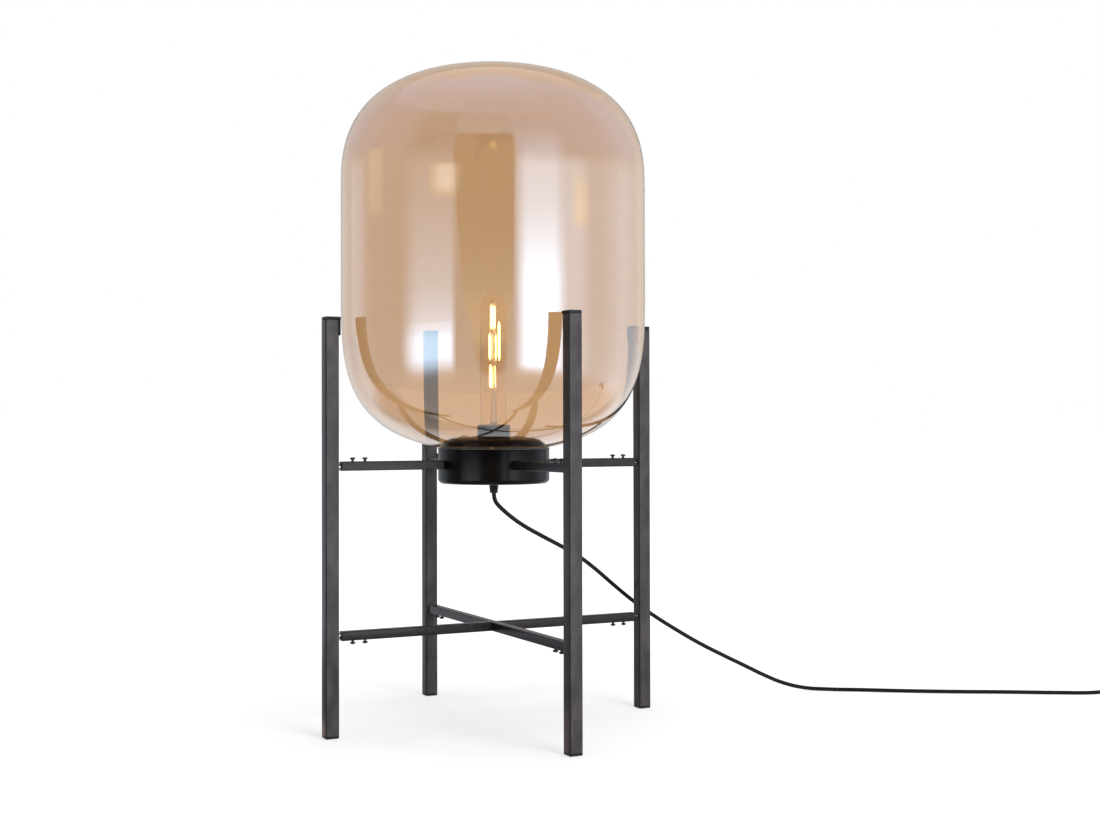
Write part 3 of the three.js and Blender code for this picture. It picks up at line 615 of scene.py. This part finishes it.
def piece(name, shape, finish, body, nodes=(), adds=(), cuts=(), turn=0, sharp=35):
    spin = Matrix.Rotation(turn * QUARTER, 4, "Z")
    made = bare(name, moved(shape, spin))
    for operation, tools in (("UNION", adds), ("DIFFERENCE", cuts)):
        for tool in tools:
            other = bare("tool", moved(tool, spin))
            modifier = made.modifiers.new("shape", "BOOLEAN")
            modifier.object = other
            modifier.operation = operation
            modifier.solver = "EXACT"
            bpy.context.view_layer.update()
            shaped = made.evaluated_get(bpy.context.evaluated_depsgraph_get())
            mesh = bpy.data.meshes.new_from_object(shaped)
            made.modifiers.clear()
            made.data = mesh
            bpy.data.objects.remove(other)
    finish_mesh(made, sharp)
    made.data.materials.clear()
    made.data.materials.append(finish)
    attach(made, body)
    if nodes:
        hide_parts(*nodes)
    return made


# Sizes that the CAD model gives
SHADE_RADIUS = 170.5
SHADE_TOP = 733.0
SHADE_FLOOR = 308.5
SHADE_WALL = 3.0
DOME_HEIGHT = 133.0
DOME_POWER = 2.57
FOOT_HEIGHT = 176.8
FOOT_POWER = 3.39
OPENING = 61.0
LEG_CIRCLE = 192.0
LEG_SIDE = 15.0
LEG_FACE = LEG_CIRCLE - LEG_SIDE / 2
ARM_END = 180.5
ARM_SIDE = 10.0
ARM_LEVEL = 290.0
BAR_LEVEL = 108.0
UPPER_ROD = 289.3
LOWER_ROD = 108.7
SCREW_PLACES = {"outer": 167.0, "inner": 153.0}
TUBE_LOW, TUBE_TOP = 2.5, 446.7
CAP_LOW, LEG_TOP = 447, 450
STUB_SIDE = 11.4
GLIDE_TOP = 2.2
ROD_START, ROD_END, ROD_RADIUS = 134.5, 197.7, 2.0
ARM_START = 61.7


# Cord, from the grip under the canister to the plug
ROUTE = [
    (0, 0, 257.2), (0.7, 0.1, 252), (2.7, 0.4, 247.2), (6.2, 0.8, 243.2), (14, 1.8, 236.5),
    (25, 3.8, 228.5), (41, 6.3, 218.6), (64, 9.5, 206.8), (90, 14, 194.3), (117, 19, 180.5),
    (142, 23.5, 164), (170, 27.5, 142.7), (200, 30.5, 120.7), (231, 32.5, 100.6), (262, 33.5, 82.2),
    (294, 32.5, 64.2), (325, 29.5, 48.4), (354, 25, 34), (380, 19.5, 20.8), (404, 12.5, 10.4),
    (428, 2.5, 4.2), (452, -11.5, 2.6), (486, -35, 2.6), (530, -66, 2.6), (582, -99, 2.6),
    (638, -131, 2.6), (692, -164, 2.6), (727, -186, 3.4), (746, -197.15, 5.9), (757, -203, 6.7)]
CORD = 4.8
LOOP_PITCH = 5.35
LOW_LAYER = 2.6
HIGH_LAYER = LOW_LAYER + LOOP_PITCH
COIL_OUTER = 32.35
COIL_TURNS = 2
WHOLE_TURNS = 4.5
COIL_LEAD = 34.0
COIL_TAIL = 20.0
SWITCH_LENGTH = 62.0
PLUG_LEVEL = 7.0
LOOP_STEPS = 24
before, after = Vector(ROUTE[-2]), Vector(ROUTE[-1])
HEADING = (after - before)
HEADING.z = 0
HEADING.normalize()
TURN = math.atan2(HEADING.y, HEADING.x)
SWITCH_START = after + HEADING * GAP
LEAD_START = SWITCH_START + HEADING * (SWITCH_LENGTH + GAP)
COIL_START = LEAD_START + HEADING * COIL_LEAD
COIL_CENTRE = COIL_START + Vector((HEADING.y, -HEADING.x, 0)) * COIL_OUTER


def loop_point(turns):
    radius = COIL_OUTER - LOOP_PITCH * min(turns, WHOLE_TURNS - turns)
    climb = min(max(2 * (turns - COIL_TURNS), 0), 1)
    angle = TURN + QUARTER - 2 * math.pi * turns
    x, y = COIL_CENTRE.x + radius * math.cos(angle), COIL_CENTRE.y + radius * math.sin(angle)
    return Vector((x, y, LOW_LAYER + LOOP_PITCH * (1 - math.cos(math.pi * climb)) / 2))


loops = [loop_point(i / LOOP_STEPS) for i in range(int(WHOLE_TURNS * LOOP_STEPS) + 1)]
lead = []
for share, rise_share in zip((0, 0.2, 0.45, 0.7), (1, 1, 0.6, 0.15)):
    point = LEAD_START + HEADING * COIL_LEAD * share
    point.z = LOW_LAYER + (after.z - LOW_LAYER) * rise_share
    lead.append(point)
tail = []
for share, drop_share in zip((0.4, 0.75, 1), (0.4, 1, 1)):
    point = loops[-1] - HEADING * COIL_TAIL * share
    point.z = HIGH_LAYER + (PLUG_LEVEL - HIGH_LAYER) * drop_share
    tail.append(point)
cord_line = bpy.data.curves.new("mains_cord", "CURVE")
cord_line.dimensions = "3D"
cord_line.bevel_depth = CORD / 2 * MM
cord_line.bevel_resolution = 5
cord_line.resolution_u = 5
cord_line.use_fill_caps = True
spline = cord_line.splines.new("BEZIER")
stations = [Vector(point) for point in ROUTE] + lead + loops + tail
spline.bezier_points.add(len(stations) - 1)
for knot, point in zip(spline.bezier_points, stations):
    knot.co = point * MM
    knot.handle_left_type = knot.handle_right_type = "AUTO"
cord = bpy.data.objects.new("mains_cord", cord_line)
scene.collection.objects.link(cord)
cord_line.materials.append(cord_plastic)
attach(cord, "root")
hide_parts("cord_lead", "cord_coil")
print("cord length", spline.calc_length())


# Glass shade
def shade_side(inset):
    radius = SHADE_RADIUS - inset
    spring = SHADE_TOP - DOME_HEIGHT
    waist = SHADE_FLOOR + FOOT_HEIGHT
    reach = radius + OPENING
    end = math.acos((2 * OPENING / reach) ** (FOOT_POWER / 2))
    drop = (FOOT_HEIGHT - inset) / math.sin(end) ** (2 / FOOT_POWER)
    foot, dome = [], []
    steps = 3000
    for i in range(steps + 1):
        angle = end * (1 - i / steps)
        foot.append((
            reach * math.cos(angle) ** (2 / FOOT_POWER) - OPENING,
            waist - drop * math.sin(angle) ** (2 / FOOT_POWER)))
        angle = QUARTER * i / steps
        dome.append((
            radius * max(math.cos(angle), 0) ** (2 / DOME_POWER),
            spring + (DOME_HEIGHT - inset) * math.sin(angle) ** (2 / DOME_POWER)))
    rim = OPENING + SHADE_WALL / 2
    points = [point for point in foot if point[0] >= rim] + dome[1:]
    made = even(points, 130)
    made[-1] = (0, made[-1][1])
    return made


outer, inner = shade_side(0), shade_side(SHADE_WALL)
rim_middle = (OPENING + SHADE_WALL / 2, (outer[0][1] + inner[0][1]) / 2)
rim = bend(rim_middle, (inner[0][1] - outer[0][1]) / 2, 3, 1, 6)[1:-1]
shade = piece(
    "shade_glass", lathe(outer[::-1] + rim + inner, 160), lustre_glass, "shade",
    ["glass_shade"], sharp=60)
shade.data.materials.append(inner_glass)
for face in shade.data.polygons:
    if face.normal.dot(Vector((face.center.x, face.center.y, face.center.z - 0.5))) < 0:
        face.material_index = 1
shade.visible_shadow = False

# Canister: cup, lid and gasket
CAN_RADIUS = 62.5
CAN_FLOOR = 268.5
CAN_RIM = 306.5
CAN_ROUND = 5.5
LID_TOP = 320.0
LID_RADIUS = 60.7
LID_ROUND = 15.0
STEM_RADIUS = 4.9
HOLDER_RADIUS = 18.5
cup = [
    (STEM_RADIUS + GAP, CAN_FLOOR),
    *bend((CAN_RADIUS - CAN_ROUND, CAN_FLOOR + CAN_ROUND), CAN_ROUND, -1, 0, 8),
    *bend((CAN_RADIUS - 0.5, CAN_RIM - 0.5), 0.5, 0, 1, 3),
    *bend((CAN_RADIUS - 1.1, CAN_RIM - 0.4), 0.4, 1, 2, 3),
    *bend((CAN_RADIUS - CAN_ROUND, CAN_FLOOR + CAN_ROUND), CAN_ROUND - 1.5, 0, -1, 8),
    (STEM_RADIUS + GAP, CAN_FLOOR + 1.5)]
piece("canister_cup_shell", lathe(cup, 96), canister_paint, "root", ["canister_cup"])
lid = [
    (LID_RADIUS, CAN_FLOOR + CAN_ROUND),
    *bend((LID_RADIUS - LID_ROUND, LID_TOP - LID_ROUND), LID_ROUND, 0, 1, 12),
    (HOLDER_RADIUS + GAP, LID_TOP),
    (HOLDER_RADIUS + GAP, LID_TOP - 1.2),
    *bend((LID_RADIUS - LID_ROUND, LID_TOP - LID_ROUND), LID_ROUND - 1.2, 1, 0, 12),
    (LID_RADIUS - 1.2, CAN_FLOOR + CAN_ROUND)]
piece("canister_lid_shell", lathe(lid, 96), canister_paint, "root", ["canister_lid"])
gasket = [
    (OPENING, 306.8), *bend((62.7, 307.2), 0.4, -1, 0, 3), *bend((62.7, 307.8), 0.4, 0, 1, 3),
    (OPENING, 308.2)]
piece("gasket_ring", lathe(gasket, 96), clear_rubber, "root", ["shade_gasket"])

# Lampholder shell
holder = [
    (2.7, 288), *bend((HOLDER_RADIUS - 1, 289), 1, -1, 0, 3),
    *bend((HOLDER_RADIUS - 0.8, 332.7), 0.8, 0, 1, 4),
    (HOLDER_RADIUS - 1.6, 333.5), (HOLDER_RADIUS - 1.6, 291), (2.7, 291)]
piece("holder_shell", lathe(holder, 72), holder_plastic, "root", ["lampholder_shell"])

# Bulb: cap with a screw thread, glass, stem, supports and glowing strands
BULB_BASE = 297.6
CAP_TOP = 323.6
CAP_RADIUS = 13.0
BULB_TIP = 482.1
TIP_HEIGHT = 15
BULB_RADIUS = 15.0
BULB_NECK = 11.2
NECK_TOP = 323.9
THREAD_PITCH = 3.6


def thread(height, low, high):
    ease = min(max((height - low) / 1.5, 0), 1) * min(max((high - height) / 1.5, 0), 1)

    def shape(angle):
        phase = 2 * math.pi * height / THREAD_PITCH - angle
        return 1 - 0.07 * ease * (0.5 - 0.5 * math.cos(phase))

    return shape


THREAD_LOW, THREAD_HIGH = 303.6, 320.4
levels = [THREAD_LOW + (THREAD_HIGH - THREAD_LOW) * i / 40 for i in range(41)]
cap = [
    (0, BULB_BASE), (4.0, BULB_BASE), (4.8, BULB_BASE + 0.5), (4.8, BULB_BASE + 1.3),
    (6.5, BULB_BASE + 1.8), (12.1, 302.6), (12.5, 303.2),
    *[(CAP_RADIUS, z, thread(z, THREAD_LOW, THREAD_HIGH)) for z in levels],
    (CAP_RADIUS, CAP_TOP), (11.5, CAP_TOP), (11.5, 303.7), (0, 303.7)]
piece("bulb_screw_cap", lathe(cap, 64), cap_brass, "bulb", ["bulb_cap"], sharp=50)


def bulb_side(inset):
    radius = BULB_RADIUS - inset
    neck = BULB_NECK - inset
    points = [(neck, 315.6), (neck, NECK_TOP)]
    for i in range(1, 9):
        share = i / 8
        swell = (BULB_RADIUS - BULB_NECK) * (3 - 2 * share) * share ** 2
        points.append((neck + swell, NECK_TOP + 9 * share))
    for i in range(19):
        angle = i / 18 * QUARTER
        height = BULB_TIP - TIP_HEIGHT + (TIP_HEIGHT - inset) * math.sin(angle)
        points.append((radius * math.cos(angle) ** 0.9, height))
    points[-1] = (0, points[-1][1])
    return points


bulb = piece(
    "bulb_tube", lathe(bulb_side(0)[::-1] + bulb_side(1.1), 64), bulb_clear, "bulb",
    ["bulb_glass"], sharp=60)
bulb.visible_shadow = False


def inside(aside_mm, ahead_mm, height):
    return ASIDE * aside_mm + AHEAD * ahead_mm + Vector((0, 0, height))


strands = []
for x, y, low, high, radius in [
    (-2.2, 3.4, 441.5, 469, 1.5), (1.1, 4.3, 441.5, 468, 1.3), (-4.0, 2.0, 406.5, 437, 1.6),
    (2.4, -3.6, 406, 436, 0.8), (6.2, 0.6, 405.5, 450, 1.4), (-3.4, 2.6, 374.5, 401, 1.5),
    (1.2, -4.1, 374, 400, 0.9)]:
    heights = [low + (high - low) * i / 16 for i in range(17)]
    swell = [radius * min(1, 0.35 + 0.33 * min(i, 16 - i)) for i in range(17)]
    strands.append(wire([inside(x, y, z) for z in heights], swell, 12))
piece(
    "bulb_strands", joined(*strands), filament_glow, "bulb", ["bulb_filament"], sharp=60
).visible_shadow = False
stem = [
    (0, 315.8), (9.6, 315.8), (9.8, 317.2), (4.6, 332), (3.6, 340), (2.6, 358), (2.2, 367), (2.5, 370),
    (1.7, 373), (1.3, 400), (2.0, 402), (1.3, 404), (1.2, 436), (1.9, 438), (1.2, 440), (1.0, 470),
    (1.6, 472), (0, 473)]
piece("bulb_stem", lathe(stem, 24), stem_glass, "bulb", sharp=70).visible_shadow = False
wires = []
for x, y, level in [
    (-2.2, 3.4, 439), (1.1, 4.3, 439), (-4.0, 2.0, 438), (2.4, -3.6, 437), (6.2, 0.6, 403),
    (-4.0, 2.0, 403), (2.4, -3.6, 403), (-3.4, 2.6, 402), (1.2, -4.1, 402), (-3.4, 2.6, 372),
    (1.2, -4.1, 372)]:
    support = [inside(0, 0, level), inside(x * 0.6, y * 0.6, level + 0.5), inside(x, y, level + 1.6)]
    wires.append(wire(support, 0.22, 6))
for x, y, level in [
    (-2.2, 3.4, 471), (1.1, 4.3, 470), (6.2, 0.6, 452), (9.5, 2.0, 459), (-6.0, -3.0, 466)]:
    hook = [
        inside(x * share, y * share, level + 3.5 * math.sin(math.pi * share))
        for share in (0.1, 0.3, 0.5, 0.7, 0.9, 1.0)]
    wires.append(wire(hook, 0.2, 6))
for side in (-1, 1):
    squiggle = [
        inside(side * 2.4 + 0.8 * math.sin(1.9 * i + side), 1.0 * math.cos(2.3 * i), 340 + 2.0 * i)
        for i in range(15)]
    wires.append(wire(squiggle, 0.25, 6))
piece("bulb_wires", joined(*wires), cap_brass, "bulb", sharp=70).visible_shadow = False

# Cord grip: a ribbed taper below the canister
grip = [(2.7, 257.5), (4.3, 257.5), (4.6, 257.8)]
for i in range(4):
    z = 258.6 + 2.1 * i
    r = 4.7 + 0.22 * i
    grip += [(r, z), (r - 0.6, z + 0.3), (r - 0.6, z + 0.9), (r + 0.1, z + 1.2)]
grip += [
    (5.6, 266.6), (5.9, 266.9), (6.0, 267.4), (6.0, 268.0), (5.8, 268.2), (4.9, 268.2), (4.9, 280.2),
    (2.7, 280.2)]
piece("grip_taper", lathe(grip, 48), black_rubber, "root", ["cord_grip"], sharp=40)


# Legs, arms, bars, rods and screws, drawn along +X and turned to each side
def screw(tip, seat):
    return [
        (0, tip), (1.2, tip), (1.5, tip + 0.4), (1.5, seat), (2.7, seat), (3.0, seat + 0.25),
        (3.0, seat + 0.8), (2.75, seat + 1.35), (2.2, seat + 1.8), (1.55, seat + 2.1),
        (1.1, seat + 2.1, hexagon), (1.05, seat + 1.0, hexagon), (0, seat + 0.9)]


UPSIDE_DOWN = Matrix.Rotation(math.pi, 4, "X")
for turn, side in enumerate(("right", "back", "left", "front")):
    leg = "leg_" + side
    tube = shifted(square_tube(LEG_SIDE, 1.4, 1.5, TUBE_LOW, TUBE_TOP), LEG_CIRCLE, 0, 0)
    bores = [
        shifted(moved(cylinder(2.3, 0, 8), ALONG_X), LEG_FACE - 4, 0, level)
        for level in (UPPER_ROD, LOWER_ROD)]
    paint_edge_shade(piece(leg + "_tube", tube, leg_steel, leg, [leg], cuts=bores, turn=turn))
    cap = shifted(block(17.3, 15, 1.2, CAP_LOW, LEG_TOP, round_high=1.3), LEG_CIRCLE + 7.5 - 8.65, 0, 0)
    pad = shifted(block(2, 12.8, 0.9, 430, 448.2, round_low=0.8), 183.2, 0, 0)
    stub = shifted(block(STUB_SIDE, STUB_SIDE, 0.7, 438, 448.2, round_low=0.6), LEG_CIRCLE, 0, 0)
    piece(
        "leg_cap_" + side + "_rubber", cap, black_rubber, leg, ["leg_cap_" + side],
        adds=[pad, stub], turn=turn)
    glide = block(LEG_SIDE, LEG_SIDE, 1.2, 0, GLIDE_TOP, round_low=1.6, round_high=0.2)
    glide = shifted(glide, LEG_CIRCLE, 0, 0)
    stub = shifted(block(STUB_SIDE, STUB_SIDE, 0.7, 1.1, 13.2, round_high=0.6), LEG_CIRCLE, 0, 0)
    piece(
        "foot_glide_" + side + "_rubber", glide, black_rubber, leg, ["foot_glide_" + side],
        adds=[stub], turn=turn)
    rod = [
        (0, ROD_START), (ROD_RADIUS - 0.4, ROD_START), (ROD_RADIUS, ROD_START + 0.4),
        (ROD_RADIUS, ROD_END - 0.4), (ROD_RADIUS - 0.4, ROD_END), (0, ROD_END)]
    for level, height in (("upper", UPPER_ROD), ("lower", LOWER_ROD)):
        name = level + "_rod_" + side
        shape = shifted(moved(lathe(rod, 32), ALONG_X), 0, 0, height)
        piece(name + "_steel", shape, bright_steel, leg, [name], turn=turn)
    arm = shifted(moved(square_tube(ARM_SIDE, 0.9, 2, ARM_START, ARM_END), ALONG_X), 0, 0, ARM_LEVEL)
    holes = [shifted(cylinder(1.8, ARM_LEVEL, ARM_LEVEL + 8), x, 0, 0) for x in SCREW_PLACES.values()]
    paint_edge_shade(piece(
        "arm_" + side + "_tube", arm, bar_steel, "root", ["arm_" + side], cuts=holes,
        turn=turn))
    for place, x in SCREW_PLACES.items():
        name = "upper_screw_" + side + "_" + place
        shape = shifted(lathe(screw(291.6, 297.3), 36), x, 0, 0)
        piece(name + "_steel", shape, screw_steel, "root", [name], turn=turn)
        name = "lower_screw_" + side + "_" + place
        shape = shifted(moved(lathe(screw(-106.4, -100.7), 36), UPSIDE_DOWN), x, 0, 0)
        piece(name + "_steel", shape, screw_steel, "root", [name], turn=turn)

bar = shifted(moved(square_tube(ARM_SIDE, 0.9, 2, -ARM_END, ARM_END), ALONG_X), 0, 0, BAR_LEVEL)
holes = [
    shifted(cylinder(1.8, BAR_LEVEL - 8, BAR_LEVEL), sign * x, 0, 0)
    for x in SCREW_PLACES.values() for sign in (-1, 1)]
half = ARM_SIDE / 2 + GAP
for name, turn, low, high in (("left_right", 0, -0.15, 9), ("front_back", 1, -9, 0.15)):
    notch = box((-half, -9, BAR_LEVEL + low), (half, 9, BAR_LEVEL + high))
    paint_edge_shade(piece(
        "cross_bar_" + name + "_tube", bar, bar_steel, "root", ["cross_bar_" + name],
        cuts=[*holes, notch], turn=turn))

# Inline switch and plug
inline = Matrix.Translation((SWITCH_START.x, SWITCH_START.y, 0.2)) @ Matrix.Rotation(TURN, 4, "Z")


def case_ring(height, inset):
    ring = round_square(SWITCH_LENGTH - 2 * inset, 26 - 2 * inset, 6 - inset * 0.8, height, 6)
    return [(x + SWITCH_LENGTH / 2, y, z) for x, y, z in ring]


CASE_HEIGHT = 17
CASE_ROUND = 3
turns = [i / 5 * QUARTER for i in range(6)]
case = [case_ring(CASE_ROUND * (1 - math.cos(a)), CASE_ROUND * (1 - math.sin(a))) for a in turns]
case += [case_ring(8.2, 0), case_ring(8.2, 0.5), case_ring(8.7, 0.5), case_ring(8.7, 0)]
case += [
    case_ring(CASE_HEIGHT - CASE_ROUND * (1 - math.sin(a)), CASE_ROUND * (1 - math.cos(a))) for a in turns]
ROCKER_PIVOT = 15.4
pocket = shifted(moved(cylinder(7.4, -6.9, 6.9, 48), ALONG_Y), SWITCH_LENGTH / 2, 0, ROCKER_PIVOT)
switch_case = piece(
    "switch_case_shell", moved(loft(case, False), inline), plug_plastic, "root",
    ["switch_case"], cuts=[moved(pocket, inline)])
edge = math.radians(20)
outline = []
for i in range(25):
    angle = math.pi - edge + (math.pi + 2 * edge) * i / 24
    outline.append((7 * math.cos(angle), 7 * math.sin(angle)))
outline += [(3.2, 1.35), (0, 0.6), (-3.2, 1.35)]


def rocker_ring(y, share):
    return [(x * share, y, z * share) for x, z in outline]


rocker_ends = [(-6.5, 0.93), (-6.1, 1), (6.1, 1), (6.5, 0.93)]
rocker = loft([rocker_ring(y, share) for y, share in rocker_ends], False)
tilt = Matrix.Rotation(math.radians(-8), 4, "Y")
rocker = shifted(moved(rocker, tilt), SWITCH_LENGTH / 2, 0, ROCKER_PIVOT)
switch_rocker = piece(
    "switch_rocker_key", moved(rocker, inline), holder_plastic, "rocker",
    ["switch_rocker"])

PLUG_START = tail[-1] - HEADING * GAP
socket = Matrix.Translation((PLUG_START.x, PLUG_START.y, 0.2)) @ Matrix.Rotation(TURN + math.pi, 4, "Z")
plug_rings = []
for height, inset in (
    (0, 2), (0.6, 0.6), (2, 0), (6.5, 0), (6.5, 0.4), (7.1, 0.4), (7.1, 0), (11.6, 0), (13, 0.6),
    (13.6, 2)):
    half_tail, half_side = 6.4 - inset, 17.5 - inset
    ring = [
        (14 + inset, -half_tail), (18.5, -half_tail - 1.6), (24, -13.8 + inset), (28.4, -half_side + 0.4),
        (31, -half_side), (48 - inset, -half_side), (50 - inset, -half_side + 2)]
    ring += [(x, -y) for x, y in ring[::-1]]
    plug_rings.append([(x, y, height) for x, y in ring])
neck = [(0, 0), (3.2, 0)]
for i in range(5):
    step = 2.6 * i
    neck += [(3.3 + 0.22 * i, 0.9 + step), (3.3 + 0.22 * i, 2.5 + step), (2.9 + 0.2 * i, 2.8 + step)]
neck += [(4.4, 14), (4.4, 16), (0, 16)]
PLUG_MIDDLE = 6.8
neck_shape = shifted(moved(lathe(neck, 32), ALONG_X), 0, 0, PLUG_MIDDLE)
plug_body = piece(
    "plug_shell", moved(loft(plug_rings, False), socket), plug_plastic, "root", ["plug"],
    adds=[moved(neck_shape, socket)])
pins = []
for sign in (-1, 1):
    pin = [(0, 46), (2, 46), *bend((0.8, 67.8), 1.2, 0, 1, 4), (0, 69)]
    pins.append(shifted(moved(lathe(pin, 24), ALONG_X), 0, sign * 9.3, PLUG_MIDDLE))
plug_pins = piece("plug_pins", moved(joined(*pins), socket), bright_steel, "root")

# Tie round the coil
tie_angle = TURN + math.pi * 0.9
outward = Vector((math.cos(tie_angle), math.sin(tie_angle), 0))
sideways = Vector((-outward.y, outward.x, 0))
tie_rings = []
for x, y, z in round_square(35.6 - 18.6, 10.9, 2.4, 0, 6):
    ring = []
    for thickness, width in ((-0.35, -4), (-0.35, 4), (0.35, 4), (0.35, -4)):
        grow = Vector((x, y)).normalized() * thickness
        spot = COIL_CENTRE + outward * (27.1 + x + grow.x) + sideways * width
        spot.z = 5.5 + y + grow.y
        ring.append(spot)
    tie_rings.append(ring)
coil_tie = piece("coil_tie", loft(tie_rings, True), black_rubber, "root", sharp=50)

# CAD nodes that stay, all of them inside the canister
for name, finish in (
    ("lampholder_ring", holder_plastic), ("lampholder_insert", insert_ceramic), ("grip_nut", bright_steel),
    ("inner_lead", cord_plastic)):
    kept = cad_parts[name]
    for slot in kept.material_slots:
        slot.material = finish
